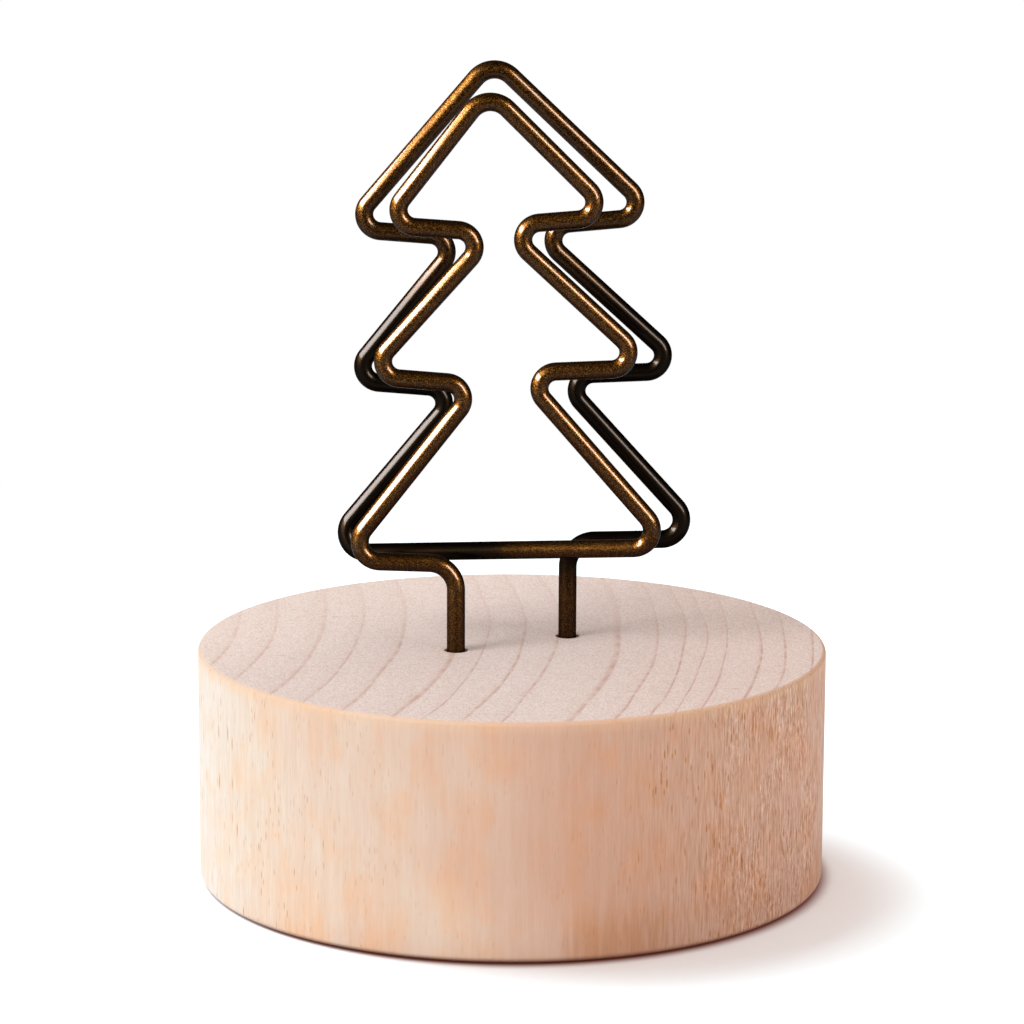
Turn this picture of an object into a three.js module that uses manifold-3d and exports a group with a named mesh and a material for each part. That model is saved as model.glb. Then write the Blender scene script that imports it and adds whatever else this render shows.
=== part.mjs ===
// Wooden photo holder stand: a turned beech disc with two drilled holes, and a clip bent from one length of
// bronzed wire. The wire rises from the front hole, draws a fir tree, crosses to the back, draws a larger fir
// tree behind the first and goes down into the rear hole. A photo or card stands between the two trees.
// Millimetres, +Z up, front towards -Y. The origin is the middle of the base's underside.

import * as THREE from 'three';
import { mergeVertices } from 'three/addons/utils/BufferGeometryUtils.js';
import Module from 'manifold-3d';

// Wooden base: a slice of a round rod with its sharp edges taken off.
const BASE_DIAMETER = 40;
const BASE_HEIGHT = 15;
const TOP_EDGE_ROUND = 0.3;
const BOTTOM_EDGE_ROUND = 0.5;

// Wire, and the radius of the pins that it is bent round.
const WIRE_DIAMETER = 1.15;
const CORNER_PIN_RADIUS = 0.5;
const LOWER_PIN_RADIUS = 0.7;
const APEX_PIN_RADIUS = 0.95;
const LEG_PIN_RADIUS = 1.15;

// Fit of the wire's two legs in the wood.
const LEG_SPAN = 7.1; // from leg to leg along X
const LOOP_SPACING = 4; // from the front tree's plane to the rear one's
const LEG_DEPTH = 8; // wire inside the wood
const HOLE_CLEARANCE = 0.15; // all round the wire
const HOLE_END_GAP = 0.3; // under the cut end of the wire
const DRILL_POINT_DEG = 118;

// The two trees, measured on the wire's centreline at its sharp corners, before they are bent round.
// From the bottom up, each side of a tier reaches out to its tip and rises along its slope to the neck, and the
// wire then climbs by tuck on its way out to the next tip. Reach and neck are taken from the tree's middle line.
// The two sides differ a little, as they do in a hand-bent wire.
const TREE_LEAN_DEG = 2.5; // both trees tip towards -X in their own planes
const FRONT_LOWER_TIER = {
  left: { reach: 10.55, neck: 1.3, rise: 10.9, tuck: 0.85 },
  right: { reach: 10.5, neck: 1.3, rise: 11.55, tuck: 0 },
};
const FRONT_MIDDLE_TIER = {
  left: { reach: 8.45, neck: 0, rise: 8.7, tuck: 0.75 },
  right: { reach: 9.6, neck: 0.4, rise: 9.3, tuck: 0.3 },
};
const FRONT_TREE = {
  offset: -0.35, // middle of the bottom edge, from the base's axis
  lift: 6.25, // bottom edge above the wood
  legRise: 5.6, // leg's corner above the wood
  height: 29.35, // apex above the bottom edge
  tiers: [FRONT_LOWER_TIER, FRONT_MIDDLE_TIER],
  topReach: { left: 6.9, right: 7.6 },
};
const REAR_LOWER_TIER = {
  left: { reach: 12.15, neck: 2.85, rise: 10.3, tuck: 0.85 },
  right: { reach: 12.35, neck: 3.25, rise: 10.95, tuck: 0 },
};
const REAR_MIDDLE_TIER = {
  left: { reach: 10.1, neck: 2.3, rise: 8.85, tuck: 0.85 },
  right: { reach: 11.55, neck: 1.95, rise: 9.55, tuck: 0.4 },
};
const REAR_TREE = {
  offset: 0,
  lift: 5.9,
  legRise: 6.25,
  height: 31.2,
  tiers: [REAR_LOWER_TIER, REAR_MIDDLE_TIER],
  topReach: { left: 9.65, right: 9.95 },
};

// Fineness of the facets.
const BASE_SIDES = 96;
const HOLE_SIDES = 24;
const EDGE_STEPS = 4;
const WIRE_SIDES = 12;
const BEND_STEPS = 6;
const MERGE_DISTANCE = 1e-4;

// Sizes that follow from the ones above.
const WIRE_RADIUS = WIRE_DIAMETER / 2;
const HOLE_RADIUS = WIRE_RADIUS + HOLE_CLEARANCE;
const HOLE_DEPTH = LEG_DEPTH + HOLE_END_GAP;
const CORNER_BEND = CORNER_PIN_RADIUS + WIRE_RADIUS;
const LOWER_BEND = LOWER_PIN_RADIUS + WIRE_RADIUS;
const APEX_BEND = APEX_PIN_RADIUS + WIRE_RADIUS;
const LEG_BEND = LEG_PIN_RADIUS + WIRE_RADIUS;
const FRONT_LEG = new THREE.Vector2(-LEG_SPAN / 2, -LOOP_SPACING / 2);
const REAR_LEG = new THREE.Vector2(LEG_SPAN / 2, LOOP_SPACING / 2);

const BEECH = new THREE.MeshStandardMaterial({ color: 0xe2bfa4, roughness: 0.7, metalness: 0 });
const BRONZED_WIRE = new THREE.MeshStandardMaterial({ color: 0x4a3319, roughness: 0.35, metalness: 0.9 });

const wasm = await Module();
wasm.setup();

// A closed three.js geometry as a solid that can be cut. Triangles that shrink to a line on the axis of a
// turned piece are left out.
function toSolid(geometry) {
  const bare = geometry.clone();
  bare.deleteAttribute('normal');
  bare.deleteAttribute('uv');
  const merged = mergeVertices(bare, MERGE_DISTANCE);
  const vertProperties = merged.attributes.position.array;
  const corners = merged.index.array;
  const triVerts = [];
  for (let i = 0; i < corners.length; i += 3) {
    const triangle = corners.slice(i, i + 3);
    if (new Set(triangle).size === 3) {
      triVerts.push(...triangle);
    }
  }
  return new wasm.Manifold(
    new wasm.Mesh({ numProp: 3, vertProperties, triVerts: Uint32Array.from(triVerts) }),
  );
}

function toGeometry(solid) {
  const { vertProperties, triVerts } = solid.getMesh();
  const geometry = new THREE.BufferGeometry();
  geometry.setAttribute('position', new THREE.BufferAttribute(vertProperties, 3));
  geometry.setIndex(new THREE.BufferAttribute(triVerts, 1));
  geometry.computeVertexNormals();
  return geometry;
}

// A profile of [radius, height] points turned about Z.
function turned(profile, sides) {
  return new THREE.LatheGeometry(profile, sides).rotateX(Math.PI / 2);
}

// The disc's section: flat underside, straight wall and flat top, with a quarter round at each edge.
function discProfile() {
  const radius = BASE_DIAMETER / 2;
  const section = new THREE.Path();
  section.moveTo(0, 0);
  section.lineTo(radius - BOTTOM_EDGE_ROUND, 0);
  section.absarc(radius - BOTTOM_EDGE_ROUND, BOTTOM_EDGE_ROUND, BOTTOM_EDGE_ROUND, -Math.PI / 2, 0);
  section.absarc(radius - TOP_EDGE_ROUND, BASE_HEIGHT - TOP_EDGE_ROUND, TOP_EDGE_ROUND, 0, Math.PI / 2);
  section.lineTo(0, BASE_HEIGHT);
  return section.getPoints(EDGE_STEPS / 2);
}

// What the drill takes out: a pointed end, the full-width bore, and a run past the top of the wood.
function drilledHole(leg) {
  const pointDepth = HOLE_RADIUS / Math.tan(THREE.MathUtils.degToRad(DRILL_POINT_DEG / 2));
  const bottom = BASE_HEIGHT - HOLE_DEPTH;
  const past = BASE_HEIGHT + HOLE_RADIUS;
  const profile = [
    new THREE.Vector2(0, bottom - pointDepth),
    new THREE.Vector2(HOLE_RADIUS, bottom),
    new THREE.Vector2(HOLE_RADIUS, past),
    new THREE.Vector2(0, past),
  ];
  return turned(profile, HOLE_SIDES).translate(leg.x, leg.y, 0);
}

function woodBase() {
  const disc = toSolid(turned(discProfile(), BASE_SIDES));
  const drilled = disc.subtract(toSolid(drilledHole(FRONT_LEG))).subtract(toSolid(drilledHole(REAR_LEG)));
  const mesh = new THREE.Mesh(toGeometry(drilled), BEECH);
  mesh.name = 'wood_base';
  return mesh;
}

// A wire of straight runs and round bends. Its points are set where they are needed, at the ends and through
// each bend, and not evenly along its length.
class BentWire extends THREE.Curve {
  constructor(corners) {
    super();
    this.stations = [];
    corners.forEach(({ at }, i) => {
      const into = i > 0 ? at.clone().sub(corners[i - 1].at).normalize() : null;
      const out = i < corners.length - 1 ? corners[i + 1].at.clone().sub(at).normalize() : null;
      if (into && out) {
        this.addBend(at, into, out, corners[i].bend);
      } else {
        this.stations.push({ point: at, tangent: into ?? out });
      }
    });
  }

  addBend(corner, into, out, bend) {
    const turn = into.angleTo(out);
    const side = out.clone().addScaledVector(into, -out.dot(into)).normalize();
    const start = corner.clone().addScaledVector(into, -bend * Math.tan(turn / 2));
    const centre = start.clone().addScaledVector(side, bend);
    for (let step = 0; step <= BEND_STEPS; step += 1) {
      const angle = (turn * step) / BEND_STEPS;
      const point = centre
        .clone()
        .addScaledVector(side, -bend * Math.cos(angle))
        .addScaledVector(into, bend * Math.sin(angle));
      const tangent = new THREE.Vector3()
        .addScaledVector(into, Math.cos(angle))
        .addScaledVector(side, Math.sin(angle));
      this.stations.push({ point, tangent });
    }
  }

  between(t, key, target) {
    const along = t * (this.stations.length - 1);
    const i = Math.min(Math.floor(along), this.stations.length - 2);
    return target.lerpVectors(this.stations[i][key], this.stations[i + 1][key], along - i);
  }

  getPoint(t, target = new THREE.Vector3()) {
    return this.between(t, 'point', target);
  }

  getTangent(t, target = new THREE.Vector3()) {
    return this.between(t, 'tangent', target).normalize();
  }

  getUtoTmapping(u) {
    return u;
  }
}

// Corners of one side of a tree in its own plane, from the lowest tip up to the highest.
function sideCorners(tree, side) {
  const outward = side === 'left' ? -1 : 1;
  const corners = [];
  let height = 0;
  for (const tier of tree.tiers) {
    const { reach, neck, rise, tuck } = tier[side];
    const tipBend = height === 0 ? LOWER_BEND : CORNER_BEND;
    corners.push({ x: outward * reach, z: height, bend: tipBend });
    height += rise;
    corners.push({ x: outward * neck, z: height, bend: CORNER_BEND });
    height += tuck;
  }
  corners.push({ x: outward * tree.topReach[side], z: height, bend: CORNER_BEND });
  return corners;
}

// Corners of one tree, from its lower left corner over the apex to its lower right one.
function treeCorners(tree, y) {
  const leftSide = sideCorners(tree, 'left');
  const apex = { x: 0, z: tree.height, bend: APEX_BEND };
  const rightSide = sideCorners(tree, 'right').reverse();

  const lean = new THREE.Matrix4().makeRotationY(-THREE.MathUtils.degToRad(TREE_LEAN_DEG));
  const middle = new THREE.Vector3(tree.offset, y, BASE_HEIGHT + tree.lift);
  return [...leftSide, apex, ...rightSide].map(({ x, z, bend }) => ({
    at: new THREE.Vector3(x, 0, z).applyMatrix4(lean).add(middle),
    bend,
  }));
}

// A leg from its cut end in the wood up to the corner where it turns along the tree's bottom edge.
function legCorners(leg, legRise) {
  return [
    { at: new THREE.Vector3(leg.x, leg.y, BASE_HEIGHT - LEG_DEPTH) },
    { at: new THREE.Vector3(leg.x, leg.y, BASE_HEIGHT + legRise), bend: LEG_BEND },
  ];
}

function wireClip() {
  const wire = new BentWire([
    ...legCorners(FRONT_LEG, FRONT_TREE.legRise),
    ...treeCorners(FRONT_TREE, FRONT_LEG.y),
    ...treeCorners(REAR_TREE, REAR_LEG.y),
    ...legCorners(REAR_LEG, REAR_TREE.legRise).reverse(),
  ]);
  const section = new THREE.Shape().absarc(0, 0, WIRE_RADIUS, 0, 2 * Math.PI);
  const geometry = new THREE.ExtrudeGeometry(section, {
    extrudePath: wire,
    steps: wire.stations.length - 1,
    curveSegments: WIRE_SIDES / 2,
  });
  const mesh = new THREE.Mesh(geometry, BRONZED_WIRE);
  mesh.name = 'wire_clip';
  return mesh;
}

const photoHolder = new THREE.Group();
photoHolder.add(woodBase(), wireClip());

export default photoHolder;
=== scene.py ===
"""Photo holder stand: a beech block with a clip of bent bronzed wire, and a plain studio round it.

The file is laid out as a Blender add-on. Each piece has an operator, and the sizes and colours that a user
would change are properties. Lengths are in metres, +Z is up and the front faces -Y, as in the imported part.
"""

import math

import bpy
import numpy as np
from bpy.props import FloatProperty, FloatVectorProperty, IntProperty, PointerProperty
from mathutils import Matrix, Quaternion, Vector


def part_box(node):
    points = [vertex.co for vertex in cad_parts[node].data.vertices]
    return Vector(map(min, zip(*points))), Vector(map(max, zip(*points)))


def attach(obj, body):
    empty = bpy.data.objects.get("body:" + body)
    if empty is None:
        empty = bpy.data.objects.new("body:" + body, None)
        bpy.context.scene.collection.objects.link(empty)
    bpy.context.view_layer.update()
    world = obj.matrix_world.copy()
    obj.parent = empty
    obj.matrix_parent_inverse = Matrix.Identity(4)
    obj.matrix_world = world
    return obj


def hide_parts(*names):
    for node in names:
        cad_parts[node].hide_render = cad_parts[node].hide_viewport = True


bl_info = {
    "name": "Photo Holder Stand",
    "version": (1, 0, 0),
    "blender": (4, 5, 0),
    "location": "3D View > Sidebar > Photo Holder",
    "description": "Builds a beech block with a bent wire photo clip, and a plain studio round it",
    "category": "Add Mesh",
}

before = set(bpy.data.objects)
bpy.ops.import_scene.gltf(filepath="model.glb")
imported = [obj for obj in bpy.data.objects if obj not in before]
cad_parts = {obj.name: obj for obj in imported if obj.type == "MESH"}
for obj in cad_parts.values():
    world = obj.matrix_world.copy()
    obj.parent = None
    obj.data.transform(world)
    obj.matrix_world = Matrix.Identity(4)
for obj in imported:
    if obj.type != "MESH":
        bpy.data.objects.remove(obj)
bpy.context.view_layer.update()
BLOCK_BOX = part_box("wood_base")
CLIP_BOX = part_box("wire_clip")

WIRE_DIAMETER = 0.00115
HOLE_CLEARANCE = 0.00015
DRILL_POINT = math.radians(118)
MM = 0.001
# Points closer than this are one, and a piece may leave its CAD box by this much.
WELD = 1e-8
BOX_SLACK = 0.0001

# Millimetres from the pith to the end of each year.
YEAR_ENDS = (
    (60.5, 63.0, 65.6, 68.0, 71.3, 73.7, 76.5, 80.0, 81.7, 84.2)
    + (86.35, 90.5, 92.8, 94.7, 95.8, 97.1, 99.25, 100.75, 102.6, 105.0)
)

# How fine each layer of the wood is along X, Y and Z, in patches per millimetre.
WANDER = (0.3, 0.05, 0.03)
DOTS = (11.0, 6.0, 0.30)
GAPS = (1.6, 0.9, 0.2)
RAY_LINES = (0.13, 5.5, 0.5)
RAY_GAPS = (3.2, 1.4, 0.3)
FIBRES = (9.0, 9.0, 0.60)
STREAKS = (11.0, 11.0, 2.0)
BANDS = (2.2, 2.2, 0.14)
CLOUDS = (0.13, 0.13, 0.10)
BLOTCHES = (0.42, 0.42, 0.30)
PATCHES = (0.55, 0.55, 0.22)
SHORT_FLECKS = (6.0, 6.0, 1.1)
TALL_FLECKS = (3.2, 3.2, 0.42)
STAIN_SHAPE = (0.27, 0.1, 0.42)

# A tint that changes nothing, and the factor that keeps X and Y of a place.
PLAIN = (1.0, 1.0, 1.0)
LEVEL = (1.0, 1.0, 0.0)

LAMP_AIM = Vector((0, 0, 0.025))
LAMP_DISTANCE = 0.5
STRIP_SPREAD = math.radians(120)
FLOOR_HALF = 3.0
FLOOR_LEVEL = -0.00001
SENSOR_WIDTH = 36

START = "Sideways offset, lift, and rise of the leg"
TIER = "Reach, neck, rise and tuck of one side"
TOP = "Left and right reach of the top tips, and height of the apex"


def length(name, description, default):
    """A length property in metres."""
    return FloatProperty(name=name, description=description, default=default, unit="LENGTH", precision=5)


def lengths(name, description, default):
    """Several lengths in metres that belong together."""
    return FloatVectorProperty(
        name=name, description=description, default=default, size=len(default), unit="LENGTH", precision=5
    )


def tilt(name, description, degrees):
    """An angle property."""
    default = math.radians(degrees)
    return FloatProperty(name=name, description=description, default=default, subtype="ANGLE")


def watts(name, description, default):
    """A lamp's power in watts."""
    return FloatProperty(name=name, description=description, default=default, unit="POWER")


def strength(name, description, default):
    """A level of light, where 1 shows a white surface as white."""
    return FloatProperty(name=name, description=description, default=default, min=0)


def colour(name, description, default):
    """A colour property, in linear light."""
    return FloatVectorProperty(
        name=name, description=description, default=default, size=3, subtype="COLOR", min=0, max=1
    )


class BlockSettings(bpy.types.PropertyGroup):
    """Sizes and colours of the beech block."""

    diameter: length("Diameter", "Across the round block", BLOCK_BOX[1].x - BLOCK_BOX[0].x)
    height: length("Height", "From the underside to the top", BLOCK_BOX[1].z - BLOCK_BOX[0].z)
    top_round: length("Top edge", "Radius of the rounded top edge", 0.0003)
    bottom_round: length("Bottom edge", "Radius of the rounded bottom edge", 0.0005)
    hole_diameter: length("Hole", "Across each drilled hole", WIRE_DIAMETER + 2 * HOLE_CLEARANCE)
    hole_depth: length("Hole depth", "Full-width depth of each hole", 0.0083)
    hole_edge: length("Hole edge", "Width of the broken edge round each hole", 0.00006)
    pith: lengths("Pith", "Where the tree's middle lies, beside the block", (-0.0832, 0.0053))
    ring_radii: lengths(
        "Year rings", "From the pith to the end of each year", tuple(MM * radius for radius in YEAR_ENDS)
    )
    end_colour: colour("End grain", "Wood cut across the grain", (0.90, 0.765, 0.725))
    ring_colour: colour("Ring lines", "Late wood at the end of each year", (0.50, 0.165, 0.085))
    long_colour: colour("Long grain", "Wood cut along the grain, towards the right", (0.755, 0.43, 0.302))
    # Painted light: the wall's paler colour towards the left, where the light falls.
    painted_light_colour: colour("Lit side", "Painted light on the wall, towards the left", (0.86, 0.69, 0.56))
    # Painted sheen: the palest colour, at the far left of the wall.
    painted_sheen_colour: colour("Far left sheen", "Painted sheen at the far left", (0.90, 0.80, 0.72))
    fleck_colour: colour("Flecks", "Short brown flecks along the grain", (0.60, 0.235, 0.07))
    # Painted highlight: a warm pale colour along the rounded top edge.
    rim_highlight_colour: colour("Edge highlight", "Painted highlight along the rounded top edge", (0.90, 0.60, 0.38))
    # Painted shade: a dark brown along the bottom edge.
    foot_shade_colour: colour("Foot", "Painted shade along the bottom edge", (0.19, 0.040, 0.006))
    stain_colour: colour("Stain", "Warm stain low on the front", (0.62, 0.26, 0.10))
    stain_place: lengths("Stain place", "Middle of the stain", (0.0064, -0.019, 0.001))


class ClipSettings(bpy.types.PropertyGroup):
    """Sizes and colours of the bent wire."""

    wire: length("Wire", "Thickness of the wire", WIRE_DIAMETER)
    leg_span: length("Leg span", "From leg to leg along X", 0.0071)
    spacing: length(
        "Spacing", "From the front tree to the rear one", CLIP_BOX[1].y - CLIP_BOX[0].y - WIRE_DIAMETER
    )
    leg_end: length("Leg ends", "Height of the cut ends in the wood", CLIP_BOX[0].z)
    wood_top: length("Wood top", "Height of the wood that the legs stand in", BLOCK_BOX[1].z)
    corner_pin: length("Corner pin", "Radius that the corners are bent round", 0.0005)
    lower_pin: length("Lower pin", "Radius that the lowest corners are bent round", 0.0007)
    apex_pin: length("Apex pin", "Radius that the tops are bent round", 0.00095)
    leg_pin: length("Leg pin", "Radius that the legs are bent round", 0.00115)
    lean: tilt("Lean", "Both trees tip towards -X", 2.5)
    front_start: lengths("Front start", START, (-0.00035, 0.00625, 0.0056))
    front_lower_left: lengths("Front lower left", TIER, (0.01055, 0.0013, 0.0109, 0.00085))
    front_lower_right: lengths("Front lower right", TIER, (0.0105, 0.0013, 0.01155, 0.0))
    front_middle_left: lengths("Front middle left", TIER, (0.00845, 0.0, 0.0087, 0.00075))
    front_middle_right: lengths("Front middle right", TIER, (0.0096, 0.0004, 0.0093, 0.0003))
    front_top: lengths("Front top", TOP, (0.0069, 0.0076, 0.02935))
    rear_start: lengths("Rear start", START, (0.0, 0.0059, 0.00625))
    rear_lower_left: lengths("Rear lower left", TIER, (0.01215, 0.00285, 0.0103, 0.00085))
    rear_lower_right: lengths("Rear lower right", TIER, (0.01235, 0.00325, 0.01095, 0.0))
    rear_middle_left: lengths("Rear middle left", TIER, (0.0101, 0.0023, 0.00885, 0.00085))
    rear_middle_right: lengths("Rear middle right", TIER, (0.01155, 0.00195, 0.00955, 0.0004))
    rear_top: lengths("Rear top", TOP, (0.00965, 0.00995, 0.0312))
    sides: IntProperty(name="Sides", description="Faces round the wire", default=48, min=12)
    bend_steps: IntProperty(name="Bend steps", description="Faces along each bend", default=20, min=4)
    bronze_colour: colour("Bronze", "Dark bronze skin", (0.015, 0.0049, 0.0008))
    gold_colour: colour("Gold flakes", "Bright metal that shows through", (0.085, 0.034, 0.006))
    # Painted shade: a near black for the rear tree.
    rear_shade_colour: colour("Rear shade", "Painted shade on the rear tree", (0.0038, 0.0021, 0.0011))


class StudioSettings(bpy.types.PropertyGroup):
    """Camera and light."""

    camera_place: lengths("Camera", "Where the camera stands", (-0.000035, -0.26407, 0.07962))
    elevation: tilt("Elevation", "Camera's angle above level", 11.991)
    roll: tilt("Roll", "Camera's turn about its own line of sight", 0.259)
    lens: FloatProperty(name="Lens", description="Focal length", default=149.7, unit="CAMERA")
    key_power: watts("Key", "Large softbox on the left", 1.4)
    fill_power: watts("Fill", "Small softbox on the right, for the wood alone", 0.40)
    left_power: watts("Left strip", "Long softbox that shows in the wire", 18.0)
    right_power: watts("Right strip", "Softbox on the right that shows in the wire", 4.6)
    floor_power: watts("Floor lamp", "Softbox for the floor alone", 3.6)
    room_light: strength("Room", "Even light from all round and above", 0.42)
    room_colour: colour("Room colour", "Tint of the even light", (1.0, 0.945, 0.89))
    floor_colour: colour("Floor", "Pale floor", (0.86, 0.86, 0.87))
    floor_lift: strength("Floor lift", "Brings the open floor up to white", 0.26)
    lift_colour: colour("Lift colour", "Tint of the floor in the shadow", (1.0, 0.93, 0.95))
    # Painted shade: the floor's warm dark tint where it meets the wood.
    foot_shade_colour: colour("Foot colour", "Tint of the floor where it meets the wood", (0.25, 0.055, 0.025))
    bounce_colour: colour("Floor bounce", "Floor as it throws light on the stand", (0.645, 0.59, 0.585))


def quarter_round(centre, radius, start, stop, steps):
    """Points of an arc: centre + radius * (cos a, sin a), with a going from start to stop."""
    angle = np.linspace(start, stop, steps + 1)
    return np.asarray(centre) + radius * np.stack([np.cos(angle), np.sin(angle)], -1)


def closed_mesh(name, grids, values=None):
    """One closed mesh from grids of points that meet edge to edge.

    A grid is an array of rows by columns by 3, whose columns go round and join up again. Each cell is a
    quad. Points that fall together are made one, so rows that shrink to a pole leave triangles there.
    values gives, for each attribute's name, one array of rows by columns per grid.
    """
    points = np.concatenate([grid.reshape(-1, 3) for grid in grids])
    quads = []
    base = 0
    for grid in grids:
        rows, columns = grid.shape[:2]
        index = base + np.arange(rows * columns).reshape(rows, columns)
        after = np.roll(index, -1, axis=1)
        quads.append(np.stack([index[:-1], after[:-1], after[1:], index[1:]], -1).reshape(-1, 4))
        base += rows * columns
    _, first, same = np.unique(np.round(points / WELD), axis=0, return_index=True, return_inverse=True)
    quads = same.reshape(-1)[np.concatenate(quads)]
    low_pole = quads[:, 0] == quads[:, 1]
    high_pole = quads[:, 2] == quads[:, 3]
    faces = quads[~(low_pole | high_pole)].tolist()
    faces += quads[low_pole & ~high_pole][:, [0, 2, 3]].tolist()
    faces += quads[high_pole & ~low_pole][:, [0, 1, 2]].tolist()
    mesh = bpy.data.meshes.new(name)
    mesh.from_pydata(points[first].tolist(), [], faces)
    if mesh.validate():
        raise RuntimeError(f"{name}: the grids don't make a sound mesh")
    for attribute, arrays in (values or {}).items():
        flat = np.concatenate([np.ravel(array) for array in arrays])[first]
        layer = mesh.attributes.new(attribute, "FLOAT", "POINT")
        layer.data.foreach_set("value", flat.astype(np.float32))
    mesh.shade_smooth()
    return mesh


def place_piece(name, mesh, material, node, body):
    """Puts a finished mesh into the scene, in the place of its CAD node and on the node's body."""
    mesh.materials.append(material)
    piece = bpy.data.objects.new(name, mesh)
    bpy.context.scene.collection.objects.link(piece)
    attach(piece, body)
    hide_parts(node)
    low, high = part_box(node)
    corners = np.array(piece.bound_box)
    if np.abs(np.array([corners.min(0) - low, corners.max(0) - high])).max() > BOX_SLACK:
        raise RuntimeError(f"{name} doesn't fill the box of {node}")
    return piece


class Finish:
    """Short calls that add shader nodes to a material or a world and join them up."""

    def __init__(self, owner):
        owner.use_nodes = True
        self.tree = owner.node_tree
        self.tree.nodes.clear()

    def put(self, kind, inputs=(), **options):
        """A node of that kind. inputs holds pairs of a socket and what goes into it, a value or a link."""
        made = self.tree.nodes.new("ShaderNode" + kind)
        for option, value in options.items():
            setattr(made, option, value)
        for socket, value in inputs:
            if isinstance(value, bpy.types.NodeSocket):
                self.tree.links.new(value, made.inputs[socket])
            else:
                made.inputs[socket].default_value = value
        return made

    def number(self, operation, *terms):
        """Arithmetic on numbers."""
        return self.put("Math", enumerate(terms), operation=operation).outputs[0]

    def plus(self, first, second):
        """Two numbers added."""
        return self.number("ADD", first, second)

    def minus(self, first, second):
        """The first number less the second."""
        return self.number("SUBTRACT", first, second)

    def times(self, first, second):
        """Two numbers multiplied."""
        return self.number("MULTIPLY", first, second)

    def larger(self, first, second):
        """The larger of two numbers."""
        return self.number("MAXIMUM", first, second)

    def swing(self, value, share):
        """A value's distance from one half, times share."""
        return self.plus(self.times(self.minus(value, 0.5), share), 0.5)

    def vector(self, operation, *terms):
        """Arithmetic on vectors."""
        return self.put("VectorMath", enumerate(terms), operation=operation).outputs[0]

    def span(self, value, low, high, to_low=0.0, to_high=1.0):
        """value from low to high, eased and stretched to the range from to_low to to_high."""
        terms = [(0, value), (1, low), (2, high), (3, to_low), (4, to_high)]
        return self.put("MapRange", terms, interpolation_type="SMOOTHSTEP").outputs[0]

    def blend(self, share, first, second, way="MIX"):
        """Two colours mixed by share."""
        terms = [(0, share), (6, first), (7, second)]
        return self.put("Mix", terms, data_type="RGBA", blend_type=way).outputs[2]

    def millimetres(self):
        """Places on the piece in millimetres."""
        coordinates = self.put("TexCoord").outputs["Object"]
        scaled = self.put("VectorMath", [(0, coordinates), ("Scale", 1 / MM)], operation="SCALE")
        return scaled.outputs[0]

    def noise(self, place, scale, detail=2.0, roughness=0.5, output=0):
        """Cloudy noise, about 1 / scale millimetres from patch to patch."""
        terms = [("Vector", place), ("Scale", scale), ("Detail", detail), ("Roughness", roughness)]
        return self.put("TexNoise", terms).outputs[output]

    def stretched(self, place, scales, detail=2.0, roughness=0.5, output=0):
        """Noise with its own fineness along X, Y and Z, in patches per millimetre."""
        return self.noise(self.vector("MULTIPLY", place, scales), 1.0, detail, roughness, output)

    def flecks(self, place, scales, size):
        """Slim grains scattered at random, of uneven size: 1 inside a grain and 0 between the grains."""
        terms = [("Vector", self.vector("MULTIPLY", place, scales)), ("Scale", 1.0)]
        cells = self.put("TexVoronoi", terms, feature="F1")
        chance = self.put("SeparateColor", [(0, cells.outputs["Color"])]).outputs[0]
        edge = self.span(chance, 0.35, 1.0, 0.0, size)
        inside = self.minus(edge, cells.outputs["Distance"])
        return self.span(inside, -0.04, 0.12)

    def curve(self, value, marks):
        """A rising count that passes a whole number at each of the marks, with straight runs between."""
        low, high = marks[0], marks[-1]
        share = self.put("MapRange", [(0, value), (1, low), (2, high)]).outputs[0]
        steps = self.put("FloatCurve", [("Value", share)])
        points = steps.mapping.curves[0].points
        while len(points) < len(marks):
            points.new(0.5, 0.5)
        for i, mark in enumerate(marks):
            points[i].location = ((mark - low) / (high - low), i / (len(marks) - 1))
            points[i].handle_type = "VECTOR"
        steps.mapping.update()
        return self.times(steps.outputs[0], len(marks) - 1.0)

    def tint(self, tone, share, dark, light):
        """A colour times a second one, which goes from dark to light by share."""
        return self.blend(1.0, tone, self.blend(share, (*dark, 1.0), (*light, 1.0)), "MULTIPLY")

    def reach(self, place):
        """Length of a vector."""
        return self.put("VectorMath", [(0, place)], operation="LENGTH").outputs["Value"]

    def mixed(self, share, first, second):
        """Two shaders mixed by share."""
        return self.put("MixShader", [(0, share), (1, first), (2, second)]).outputs[0]


def rgba(value):
    """A colour property with full cover."""
    return (*value, 1.0)


class BeechGrain:
    """Layers of grain that run through the whole block, so the top and the wall share them.

    Vessels are fine and long along Z: dots on the top, fibres on the wall. Flecks are slim upright
    grains.
    """

    def __init__(self, n):
        self.mm = n.millimetres()
        self.across, self.back, self.up = n.put("SeparateXYZ", [(0, self.mm)]).outputs
        self.dots = n.stretched(self.mm, DOTS, 2.0, 0.6)
        self.gaps = n.stretched(self.mm, GAPS)
        self.fibres = n.stretched(self.mm, FIBRES, 3.0, 0.6)
        self.bands = n.stretched(self.mm, BANDS)
        self.clouds = n.stretched(self.mm, CLOUDS)
        self.patches = n.stretched(self.mm, PATCHES, 3.0)
        self.short = n.flecks(self.mm, SHORT_FLECKS, 0.34)
        self.tall = n.flecks(self.mm, TALL_FLECKS, 0.25)


def year_age(n, look, mm):
    """How far each point has come through its year, from 0 to 1.

    Year rings are rounds about a pith far to the left, and a curve turns the distance from it into years,
    so that each line falls where its year ends. A little wandering makes the rounds uneven.
    """
    wander = n.vector("SUBTRACT", n.stretched(mm, WANDER, 1.0, output="Color"), (0.5, 0.5, 0.5))
    pith = (look.pith[0] / MM, look.pith[1] / MM, 0.0)
    spoke = n.vector("SUBTRACT", n.vector("ADD", mm, wander), pith)
    distance = n.reach(n.vector("MULTIPLY", spoke, LEVEL))
    return n.number("FRACT", n.curve(distance, [radius / MM for radius in look.ring_radii]))


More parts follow.
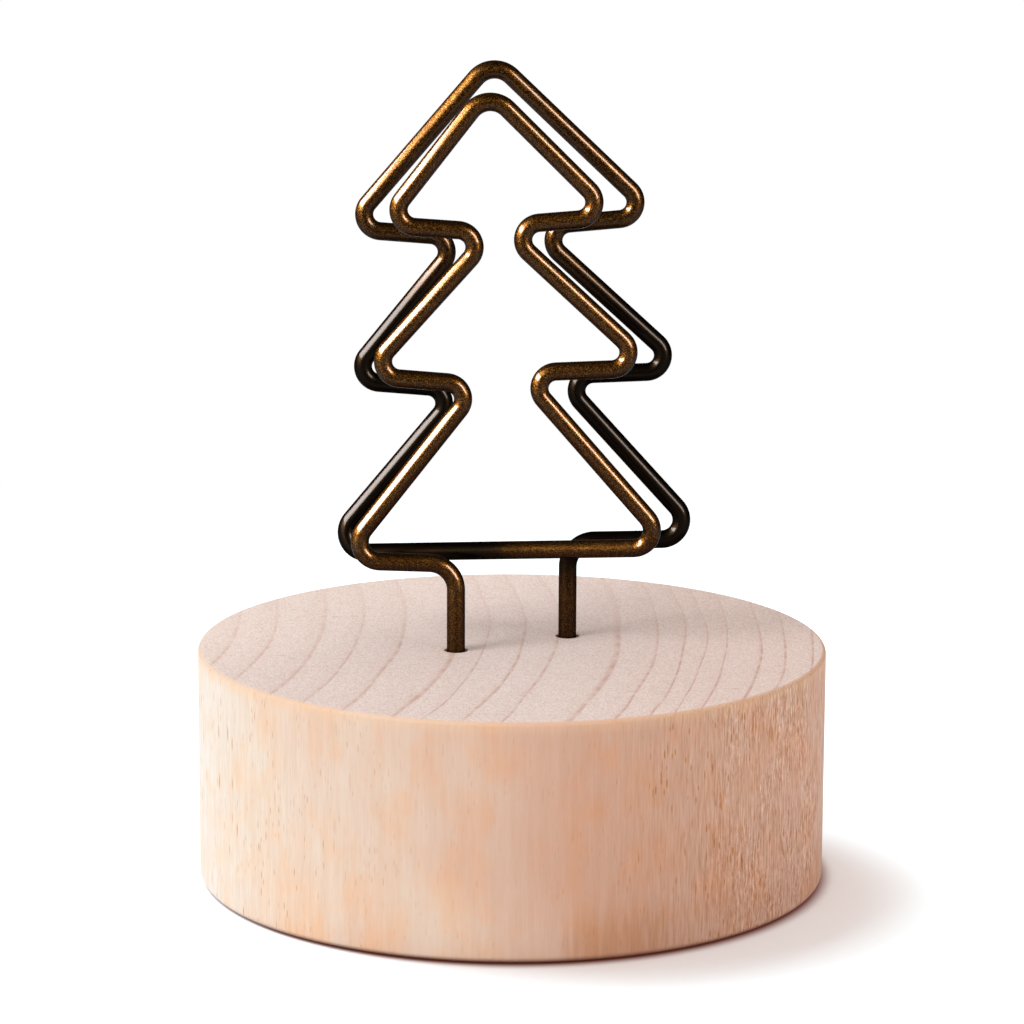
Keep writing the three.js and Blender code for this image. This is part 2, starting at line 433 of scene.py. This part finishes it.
def beech_top(n, look, grain):
    """Colour of the end grain: ring lines broken into dots, thin rays out from the pith, and pores."""
    across, back = grain.across, grain.back
    ring = rgba(look.ring_colour)
    age = year_age(n, look, grain.mm)
    late = n.span(age, 0.25, 0.95)
    tone = n.blend(n.times(late, 0.05), rgba(look.end_colour), ring)

    # Ring lines are strongest at the front, and fade to the back and the left.
    line = n.times(n.span(age, 0.855, 0.955), n.span(age, 1.0, 0.955))
    dotted = n.times(line, n.span(n.plus(grain.dots, grain.gaps), 0.70, 1.25))
    shown = n.times(n.span(back, -3.0, 10.0, 0.55, 0.13), n.span(across, 2.0, 12.0, 1.0, 1.15))
    shown = n.times(shown, n.span(across, -15.0, -5.0, 0.75, 1.0))
    tone = n.blend(n.times(dotted, shown), tone, ring)

    ray_lines = n.span(n.stretched(grain.mm, RAY_LINES, 1.0), 0.66, 0.74)
    ray_parts = n.span(n.stretched(grain.mm, RAY_GAPS), 0.45, 0.6, 0.0, 0.32)
    tone = n.blend(n.times(ray_lines, ray_parts), tone, ring)

    # Pores, then painted light that makes the top paler towards the back left, and painted shade that makes
    # it darker and warmer on the right.
    tone = n.tint(tone, n.span(grain.dots, 0.28, 0.72), (0.86, 0.82, 0.79), (1.11, 1.14, 1.16))
    tone = n.tint(tone, n.span(n.minus(back, across), 2.0, 24.0), PLAIN, (1.12, 1.12, 1.11))
    return n.tint(tone, n.span(across, 2.0, 13.0), PLAIN, (0.985, 0.945, 0.93))


def beech_wall(n, look, grain):
    """Colour of the long grain: painted light to the left, rough to the right, clouds, flecks and fibres."""
    mm, across, patches = grain.mm, grain.across, grain.patches
    # Painted light: the wall is paler to the left, where the light falls on it.
    pale = n.span(n.plus(across, n.span(grain.clouds, 0.2, 0.8, -4.0, 4.0)), 9.0, -19.0)
    tone = n.blend(pale, rgba(look.long_colour), rgba(look.painted_light_colour))
    # Painted sheen: the far left of the wall is blended towards a pale colour.
    tone = n.blend(n.span(across, -15.5, -20.0, 0.0, 0.8), tone, rgba(look.painted_sheen_colour))
    blotch = n.span(n.stretched(mm, BLOTCHES, 3.0, 0.6), 0.38, 0.74)
    tone = n.tint(tone, blotch, (0.98, 1.01, 1.04), (1.02, 0.92, 0.82))

    # Low on the wall: tan on the left, painted light that makes the middle paler, and the stain.
    low = n.span(grain.up, 6.5, 2.0)
    tan = n.times(n.span(across, -4.5, -9.0), n.span(across, -17.0, -13.5))
    tan = n.times(tan, n.span(patches, 0.35, 0.62, 0.4, 1.3))
    tone = n.tint(tone, n.times(low, tan), PLAIN, (1.03, 0.93, 0.86))
    aside = n.number("ABSOLUTE", across)
    tone = n.tint(tone, n.times(low, n.span(aside, 8.0, 3.0)), PLAIN, (1.07, 1.11, 1.12))
    off_stain = n.vector("SUBTRACT", mm, [place / MM for place in look.stain_place])
    ragged = n.span(grain.bands, 0.3, 0.7, -0.3, 0.3)
    stain = n.plus(n.reach(n.vector("MULTIPLY", off_stain, STAIN_SHAPE)), ragged)
    tone = n.blend(n.span(stain, 1.2, 0.1, 0.0, 0.42), tone, rgba(look.stain_colour))

    # Flecks and fibres show more where the wall turns away, most of all on the right.
    bold = n.times(n.span(aside, 4.0, 16.0, 0.35, 1.0), n.span(across, 2.0, 15.0, 0.6, 3.2))
    tall_share = n.larger(n.times(bold, 0.5), n.span(across, -13.0, -17.0, 0.15, 0.8))
    short_share = n.times(bold, n.span(patches, 0.40, 0.62, 0.15, 1.0))
    for flecks, share in ((grain.tall, tall_share), (grain.short, short_share)):
        tone = n.blend(n.times(flecks, share), tone, rgba(look.fleck_colour))
    tone = n.tint(tone, n.span(grain.bands, 0.3, 0.7), (0.985, 0.967, 0.95), (1.015, 1.025, 1.035))
    fine = n.swing(grain.fibres, n.times(bold, 1.3))
    tone = n.tint(tone, fine, (0.84, 0.74, 0.65), (1.12, 1.18, 1.22))
    rough = n.times(n.span(across, 10.5, 16.5, 0.0, 4.0), n.span(across, 19.7, 18.6, 0.35, 1.0))
    rough = n.times(rough, n.span(patches, 0.35, 0.62, 0.3, 1.3))
    streaks = n.swing(n.stretched(mm, STREAKS, 3.0, 0.65), rough)
    return n.tint(tone, streaks, (0.80, 0.68, 0.58), (1.22, 1.40, 1.56))


def beech_finish(look):
    """Beech as a solid: rings and rays on the top, flecks and fibres on the wall, painted highlight and
    shade at the edges.
    """
    material = bpy.data.materials.new("beech")
    n = Finish(material)
    grain = BeechGrain(n)
    cut_across = n.put("Attribute", attribute_name="end_grain").outputs["Fac"]
    wall = beech_wall(n, look, grain)
    tone = n.blend(cut_across, wall, beech_top(n, look, grain))

    top = look.height / MM
    inset = n.minus(look.diameter / 2 / MM, n.reach(n.vector("MULTIPLY", grain.mm, LEVEL)))
    # Painted highlight: the rounded top edge is blended half-way towards a warm pale colour.
    rim_highlight = n.times(n.span(grain.up, top - 1.0, top - 0.2), n.span(inset, 0.30, 0.10))
    rim_highlight = n.times(rim_highlight, n.span(grain.fibres, 0.25, 0.6, 0.4, 0.9))
    tone = n.blend(rim_highlight, tone, n.blend(0.5, rgba(look.rim_highlight_colour), wall))
    # Painted shade: the bottom edge is darkened, less so towards the left.
    foot = n.times(n.span(grain.up, 0.45, 0.03), n.span(inset, 1.4, 0.6))
    foot = n.times(foot, n.span(grain.across, -19.0, -9.0, 0.15, 1.0))
    tone = n.blend(foot, tone, rgba(look.foot_shade_colour))

    pores = [(0, cut_across), (2, grain.fibres), (3, grain.dots)]
    pores = n.put("Mix", pores, data_type="FLOAT").outputs[0]
    relief = n.minus(pores, n.times(grain.short, 0.4))
    bump = n.put("Bump", [("Height", relief), ("Strength", 0.5), ("Distance", 0.00003)])
    shader = n.put(
        "BsdfPrincipled",
        [
            ("Base Color", tone),
            ("Roughness", n.span(pores, 0.3, 0.7, 0.66, 0.52)),
            ("Normal", bump.outputs[0]),
            ("Specular IOR Level", 0.25),
        ],
    )
    n.put("OutputMaterial", [("Surface", shader.outputs[0])])
    return material


def bronze_finish(look):
    """Antique bronze: a dark skin with fine bright flakes, and painted shade on the rear tree.

    The painted shade leaves out the rear tree's top and its leg.
    """
    material = bpy.data.materials.new("bronzed_wire")
    n = Finish(material)
    mm = n.millimetres()
    _, back, up = n.put("SeparateXYZ", [(0, mm)]).outputs
    grain = n.noise(mm, 13.0, 2.0, 0.6)
    shade_noise = n.noise(mm, 0.35, 2.0, 0.55)
    rear = n.plus(back, n.span(shade_noise, 0.3, 0.7, -0.5, 0.5))
    below_top = n.span(up, 36.0, 43.0, 1.0, 0.15)
    above_leg = n.span(up, 17.5, 20.5, 0.3, 1.0)
    # Painted shade: the rear tree, below its top and above its leg, is painted near black, with a ragged
    # edge.
    rear_shade = n.times(n.span(rear, -2.0, 0.2), n.times(below_top, above_leg))
    skin = n.blend(n.span(grain, 0.44, 0.72), rgba(look.bronze_colour), rgba(look.gold_colour))
    skin = n.blend(rear_shade, skin, rgba(look.rear_shade_colour))
    bump = n.put("Bump", [("Height", grain), ("Strength", 0.25), ("Distance", 0.00001)])
    shader = n.put(
        "BsdfPrincipled",
        [
            ("Base Color", skin),
            ("Metallic", 1.0),
            ("Roughness", n.span(grain, 0.3, 0.7, 0.32, 0.40)),
            ("Normal", bump.outputs[0]),
            ("Specular Tint", (0.14, 0.085, 0.045, 1.0)),
            ("Coat Weight", n.span(rear_shade, 0.0, 1.0, 0.15, 0.05)),
            ("Coat Roughness", 0.09),
        ],
    )
    n.put("OutputMaterial", [("Surface", shader.outputs[0])])
    return material


def block_surface(size):
    """Grids of the block, and how far each point lies on end grain.

    The outside is a profile of radius and height turned about Z: underside, round, wall, round, and the
    outer ring of the top. Two patches fill the middle, one on each side of the line half-way between the
    holes. A patch runs in straight spokes from its outer edge to its hole's edge, then down the bore to
    the drill point.
    """
    around, across = 192, 32
    radius, top = size.diameter / 2, size.height
    middle = radius * 0.4
    # A narrow row beside each round keeps the flats flat in smooth shading.
    hold = 0.00002
    low, high = size.bottom_round, size.top_round
    profile = np.concatenate(
        [
            np.stack([np.linspace(0, radius - low - hold, 8), np.zeros(8)], -1),
            quarter_round((radius - low, low), low, -math.pi / 2, 0, 6),
            np.stack([np.full(6, radius), np.linspace(low + hold, top - high - hold, 6)], -1),
            quarter_round((radius - high, top - high), high, 0, math.pi / 2, 10),
            np.stack([np.linspace(radius - high - hold, middle, 8), np.full(8, top)], -1),
        ]
    )
    angle = np.arange(around) * 2 * math.pi / around
    hole = np.array([-bpy.context.scene.photo_clip.leg_span, -bpy.context.scene.photo_clip.spacing]) / 2
    angle = angle + math.atan2(hole[1], hole[0]) - math.pi / 2
    spoke = np.stack([np.cos(angle), np.sin(angle)], -1)
    heights = np.broadcast_to(profile[:, None, 1:], (len(profile), around, 1))
    outside = np.concatenate([profile[:, None, :1] * spoke, heights], -1)

    arc = middle * spoke[: around // 2 + 1]
    share = np.linspace(0, 1, across + 1)[1:-1, None]
    edge = np.concatenate([arc, arc[-1] + (arc[0] - arc[-1]) * share])
    ray = edge - hole
    ray /= np.linalg.norm(ray, axis=1, keepdims=True)
    bore, lip = size.hole_diameter / 2, size.hole_edge
    bottom = top - size.hole_depth
    point = bottom - bore / math.tan(DRILL_POINT / 2)
    inner = hole + ray * (bore + lip)
    flat = edge + (inner - edge) * (1 - np.linspace(1, 0, 12) ** 2)[:, None, None]
    turn = np.linspace(0, math.pi / 2, 5)[1:]
    sunk = np.concatenate(
        [
            np.stack([bore + lip * (1 - np.sin(turn)), top - lip * (1 - np.cos(turn))], -1),
            np.stack([np.full(5, bore), np.linspace(top - lip, bottom, 6)[1:]], -1),
            np.array([[bore / 2, (bottom + point) / 2], [0, point]]),
        ]
    )
    well = hole + ray * sunk[:, None, :1]
    patch = np.concatenate(
        [
            np.concatenate([flat, np.full((*flat.shape[:2], 1), top)], -1),
            np.concatenate([well, np.broadcast_to(sunk[:, None, 1:], (*well.shape[:2], 1))], -1),
        ]
    )
    other = patch * np.array([-1, -1, 1])

    out, height = profile.T
    in_rounds = (height > top - high) | (height < low)
    turned_up = np.clip((radius - out) / np.where(height > top / 2, high, low), 0, 1)
    end_grain = np.where(in_rounds, turned_up, 0)
    patch_end = np.concatenate([np.ones(len(flat)), np.zeros(len(sunk))])
    patch_end = np.broadcast_to(patch_end[:, None], patch.shape[:2])
    values = {"end_grain": [np.broadcast_to(end_grain[:, None], outside.shape[:2]), patch_end, patch_end]}
    return [outside, patch, other], values


def tree_corners(size, start, left, right, top, y):
    """Sharp corners of one tree's centreline, from its lower left over the apex to its lower right.

    On each side a tier gives a tip at its reach and a neck one rise higher, and tuck lifts the next tip.
    The outline then turns by the lean about the middle of its bottom edge.
    """
    reach, neck, rise, tuck = np.array([left, right]).transpose(2, 0, 1)
    foot = np.concatenate([np.zeros((2, 1)), np.cumsum(rise + tuck, axis=1)], axis=1)
    height = np.stack([foot[:, :-1], foot[:, :-1] + rise], -1).reshape(2, -1)
    height = np.concatenate([height, foot[:, -1:]], axis=1)
    outward = np.concatenate([np.stack([reach, neck], -1).reshape(2, -1), [[top[0]], [top[1]]]], axis=1)
    sides = np.stack([outward * [[-1], [1]], height], -1)
    outline = np.concatenate([sides[0], [[0, top[2]]], sides[1, ::-1]])
    cosine, sine = math.cos(size.lean), math.sin(size.lean)
    x = start[0] + outline[:, 0] * cosine - outline[:, 1] * sine
    z = size.wood_top + start[1] + outline[:, 0] * sine + outline[:, 1] * cosine
    return np.stack([x, np.full(len(x), y), z], -1)


def bent_path(corners, bends, steps):
    """Centreline of the wire: straight runs joined by arcs.

    At an inner corner the wire turns through the angle t from its direction in to its direction out. The
    arc starts bend * tan(t / 2) before the corner, its centre lies one bend to the side, and its points
    are centre - bend * cos(a) * side + bend * sin(a) * in, for a from 0 to t.
    """
    runs = np.diff(corners, axis=0)
    runs /= np.linalg.norm(runs, axis=1, keepdims=True)
    into, out = runs[:-1], runs[1:]
    cosine = np.clip((into * out).sum(1, keepdims=True), -1, 1)
    turn = np.arccos(cosine)
    side = out - into * cosine
    side /= np.linalg.norm(side, axis=1, keepdims=True)
    bend = np.asarray(bends)[:, None]
    centre = corners[1:-1] - into * bend * np.tan(turn / 2) + side * bend
    angle = (turn * np.linspace(0, 1, steps + 1))[..., None]
    into, side = into[:, None], side[:, None]
    arcs = centre[:, None] + bend[:, None] * (np.sin(angle) * into - np.cos(angle) * side)
    heads = np.cos(angle) * into + np.sin(angle) * side
    points = np.concatenate([corners[:1], arcs.reshape(-1, 3), corners[-1:]])
    tangents = np.concatenate([runs[:1], heads.reshape(-1, 3), runs[-1:]])
    return points, tangents


def clip_surface(size):
    """Grid of the wire: a circle carried along the bent path, with a small chamfer at each cut end.

    The circle stands across the path's direction T, on the axes N, the part of Y that is square to T, and
    T x N. The path never runs along Y, so the circle doesn't twist.
    """
    y = size.spacing / 2
    front = tree_corners(
        size,
        size.front_start,
        (size.front_lower_left, size.front_middle_left),
        (size.front_lower_right, size.front_middle_right),
        size.front_top,
        -y,
    )
    rear = tree_corners(
        size,
        size.rear_start,
        (size.rear_lower_left, size.rear_middle_left),
        (size.rear_lower_right, size.rear_middle_right),
        size.rear_top,
        y,
    )
    foot = np.array([size.leg_span / 2, y])
    front_leg = [[*-foot, size.leg_end], [*-foot, size.wood_top + size.front_start[2]]]
    rear_leg = [[*foot, size.wood_top + size.rear_start[2]], [*foot, size.leg_end]]
    corners = np.concatenate([front_leg, front, rear, rear_leg])
    radius = size.wire / 2
    pins = np.full(len(corners) - 2, size.corner_pin)
    last, apex = len(front), len(front) // 2
    pins[[0, -1]] = size.leg_pin
    pins[[1, last, last + 1, 2 * last]] = size.lower_pin
    pins[[1 + apex, 1 + last + apex]] = size.apex_pin
    points, tangents = bent_path(corners, pins + radius, size.bend_steps)

    cut = radius * 0.25
    along = tangents[[0, -1]] * cut
    start, stop = points[0], points[-1]
    points = np.concatenate(
        [[start, start, start + along[0]], points[1:-1], [stop - along[1], stop, stop]]
    )
    tangents = np.concatenate([tangents[[0, 0]], tangents, tangents[[-1, -1]]])
    girth = np.full(len(points), radius)
    girth[[0, 1, -2, -1]] = [0, radius - cut, radius - cut, 0]
    across = np.array([0, 1, 0]) - tangents * tangents[:, 1:2]
    across /= np.linalg.norm(across, axis=1, keepdims=True)
    third = np.cross(tangents, across)
    angle = np.arange(size.sides) * 2 * math.pi / size.sides
    ring = np.cos(angle)[:, None] * across[:, None] + np.sin(angle)[:, None] * third[:, None]
    return points[:, None] + girth[:, None, None] * ring


class PHOTOHOLDER_OT_wood_block(bpy.types.Operator):
    """Build the round beech block with its two drilled holes"""

    bl_idname = "photo_holder.wood_block"
    bl_label = "Wood Block"

    def execute(self, context):
        size = context.scene.photo_block
        grids, values = block_surface(size)
        mesh = closed_mesh("beech_block", grids, values)
        place_piece("beech_block", mesh, beech_finish(size), "wood_base", "block")
        return {"FINISHED"}


class PHOTOHOLDER_OT_wire_clip(bpy.types.Operator):
    """Build the clip of bent bronzed wire"""

    bl_idname = "photo_holder.wire_clip"
    bl_label = "Wire Clip"

    def execute(self, context):
        size = context.scene.photo_clip
        mesh = closed_mesh("bronze_clip", [clip_surface(size)])
        place_piece("bronze_clip", mesh, bronze_finish(size), "wire_clip", "clip")
        return {"FINISHED"}


def softbox(name, turn, elevation, roll, size, power, tint):
    """A rectangular lamp at a set distance from the stand and turned to it.

    turn goes from the front towards the left, elevation up from level and roll about the lamp's own axis,
    all in degrees. size is the lamp's width and height.
    """
    turn, elevation, roll = np.radians([turn, elevation, roll])
    level = math.cos(elevation)
    away = Vector((-level * math.sin(turn), -level * math.cos(turn), math.sin(elevation)))
    lamp = bpy.data.lights.new(name, "AREA")
    lamp.shape = "RECTANGLE"
    lamp.size, lamp.size_y = size
    lamp.energy = power
    lamp.color = tint
    holder = bpy.data.objects.new(name, lamp)
    holder.location = LAMP_AIM + LAMP_DISTANCE * away
    holder.rotation_euler = (away.to_track_quat("Z", "Y") @ Quaternion((0, 0, 1), roll)).to_euler()
    holder.visible_camera = False
    bpy.context.scene.collection.objects.link(holder)
    return holder


def seen_rays(n):
    """1 for what the camera sees, straight, in a mirror or through glass."""
    path = n.put("LightPath").outputs
    mirrored = n.larger(path["Is Camera Ray"], path["Is Glossy Ray"])
    return n.larger(mirrored, path["Is Transmission Ray"])


def studio_floor(light):
    """A pale floor with the stand's shadow, painted warm shade at the wood's foot, and a fade to white."""
    material = bpy.data.materials.new("studio_floor")
    n = Finish(material)
    seen = seen_rays(n)
    place = n.put("TexCoord").outputs["Object"]
    distance = n.reach(place)
    across = n.put("SeparateXYZ", [(0, place)]).outputs[0]

    # Painted shade: a warm dark ring from where the wood meets the floor to an edge closer in on the left.
    shade_edge = n.span(across, -0.019, 0.001, 0.0201, 0.0209)
    ring_share = n.span(across, -0.0195, -0.014, 0.2, 1.0)
    contact_shade = n.times(n.span(distance, shade_edge, 0.0195), ring_share)
    tone = n.blend(contact_shade, rgba(light.floor_colour), rgba(light.foot_shade_colour))
    tone = n.blend(seen, rgba(light.bounce_colour), tone)
    diffuse = n.put("BsdfDiffuse", [("Color", tone)]).outputs[0]
    glow_tone = n.blend(contact_shade, rgba(light.lift_colour), rgba(light.foot_shade_colour))
    lift = n.times(seen, light.floor_lift)
    glow = n.put("Emission", [("Color", glow_tone), ("Strength", lift)]).outputs[0]
    near = n.put("AddShader", [(0, diffuse), (1, glow)]).outputs[0]

    straight = n.put("LightPath").outputs["Is Camera Ray"]
    brightness = n.larger(straight, n.span(distance, 0.13, 0.4, 1.0, 0.2))
    white = n.put("Emission", [("Strength", brightness)]).outputs[0]
    away = n.times(seen, n.span(distance, 0.06, 0.13))
    n.put("OutputMaterial", [("Surface", n.mixed(away, near, white))])

    mesh = bpy.data.meshes.new("studio_floor")
    sides = ((-1, -1), (1, -1), (1, 1), (-1, 1))
    corners = [(FLOOR_HALF * x, FLOOR_HALF * y, FLOOR_LEVEL) for x, y in sides]
    mesh.from_pydata(corners, [], [(0, 1, 2, 3)])
    mesh.materials.append(material)
    floor = bpy.data.objects.new("studio_floor", mesh)
    bpy.context.scene.collection.objects.link(floor)
    return floor


class PHOTOHOLDER_OT_studio(bpy.types.Operator):
    """Set up the floor, the lamps, the white surroundings and the camera"""

    bl_idname = "photo_holder.studio"
    bl_label = "Studio"

    def execute(self, context):
        light = context.scene.photo_studio
        floor = studio_floor(light)
        block, clip = bpy.data.objects["beech_block"], bpy.data.objects["bronze_clip"]
        # Turn, elevation and roll, then width and height, power and tint.
        key = softbox("key", 61, 33, 0, (0.24, 0.24), light.key_power, (1.0, 0.99, 0.98))
        fill = softbox("fill", -52, 13, 18, (0.20, 0.06), light.fill_power, (1.0, 0.97, 0.92))
        left = softbox("left_strip", 69, 24.5, -16, (0.62, 0.12), light.left_power, (0.88, 0.95, 1.0))
        right = softbox("right_strip", -47, 21, 18, (0.15, 0.28), light.right_power, (0.90, 0.95, 1.0))
        low = softbox("floor_lamp", 125, 58, 0, (0.32, 0.32), light.floor_power, (0.70, 0.93, 1.0))
        left.data.spread = right.data.spread = STRIP_SPREAD
        # Each group of pieces, and the lamps that light it alone.
        for name, lamps, lit in (
            ("lit_stand", (key,), (block, clip)),
            ("lit_wood", (fill,), (block,)),
            ("lit_wire", (left, right), (clip,)),
            ("lit_floor", (low,), (floor,)),
        ):
            group = bpy.data.collections.new(name)
            for piece in lit:
                group.objects.link(piece)
            for lamp in lamps:
                lamp.light_linking.receiver_collection = group
        self.surroundings(context.scene, light)
        self.camera(context.scene, light)
        context.scene.view_settings.view_transform = "Standard"
        return {"FINISHED"}

    def surroundings(self, scene, light):
        """Even light for the stand, and a white backdrop for the camera and for reflections."""
        world = bpy.data.worlds.new("studio_world")
        scene.world = world
        n = Finish(world)
        _, behind, above = n.put("SeparateXYZ", [(0, n.put("TexCoord").outputs["Generated"])]).outputs
        level = n.times(n.span(above, -0.2, 1.0, 0.55, 1.75), light.room_light)
        room = n.put("Background", [("Color", rgba(light.room_colour)), ("Strength", level)])
        backdrop = n.larger(n.span(behind, 0.955, 0.99), n.span(behind, 0.1, 0.7, 0.08, 0.2))
        shown = n.larger(backdrop, n.put("LightPath").outputs["Is Camera Ray"])
        white = n.put("Background", [("Color", rgba(PLAIN)), ("Strength", shown)])
        n.put("OutputWorld", [("Surface", n.mixed(seen_rays(n), room.outputs[0], white.outputs[0]))])

    def camera(self, scene, light):
        """The photo's viewpoint: level along +Y, tipped down by the elevation and turned by the roll."""
        lens = bpy.data.cameras.new("photo_camera")
        lens.lens = light.lens
        lens.sensor_width = SENSOR_WIDTH
        lens.clip_start = 0.01
        camera = bpy.data.objects.new("photo_camera", lens)
        tip = Matrix.Rotation(math.pi / 2 - light.elevation, 4, "X")
        turn = Matrix.Rotation(light.roll, 4, "Z")
        camera.matrix_world = Matrix.Translation(light.camera_place) @ tip @ turn
        scene.collection.objects.link(camera)
        scene.camera = camera


class PHOTOHOLDER_PT_sidebar(bpy.types.Panel):
    """Sizes, colours and build buttons of the photo holder"""

    bl_label = "Photo Holder"
    bl_idname = "PHOTOHOLDER_PT_sidebar"
    bl_space_type = "VIEW_3D"
    bl_region_type = "UI"
    bl_category = "Photo Holder"

    def draw(self, context):
        groups = (
            (context.scene.photo_block, PHOTOHOLDER_OT_wood_block),
            (context.scene.photo_clip, PHOTOHOLDER_OT_wire_clip),
            (context.scene.photo_studio, PHOTOHOLDER_OT_studio),
        )
        for settings, operator in groups:
            box = self.layout.box()
            for name in settings.__annotations__:
                box.prop(settings, name)
            box.operator(operator.bl_idname)


CLASSES = (
    BlockSettings,
    ClipSettings,
    StudioSettings,
    PHOTOHOLDER_OT_wood_block,
    PHOTOHOLDER_OT_wire_clip,
    PHOTOHOLDER_OT_studio,
    PHOTOHOLDER_PT_sidebar,
)


def register():
    for cls in CLASSES:
        bpy.utils.register_class(cls)
    bpy.types.Scene.photo_block = PointerProperty(type=BlockSettings)
    bpy.types.Scene.photo_clip = PointerProperty(type=ClipSettings)
    bpy.types.Scene.photo_studio = PointerProperty(type=StudioSettings)


def unregister():
    del bpy.types.Scene.photo_studio
    del bpy.types.Scene.photo_clip
    del bpy.types.Scene.photo_block
    for cls in reversed(CLASSES):
        bpy.utils.unregister_class(cls)


def main():
    """Builds the whole scene."""
    register()
    bpy.ops.photo_holder.wood_block()
    bpy.ops.photo_holder.wire_clip()
    bpy.ops.photo_holder.studio()


if __name__ == "__main__":
    main()
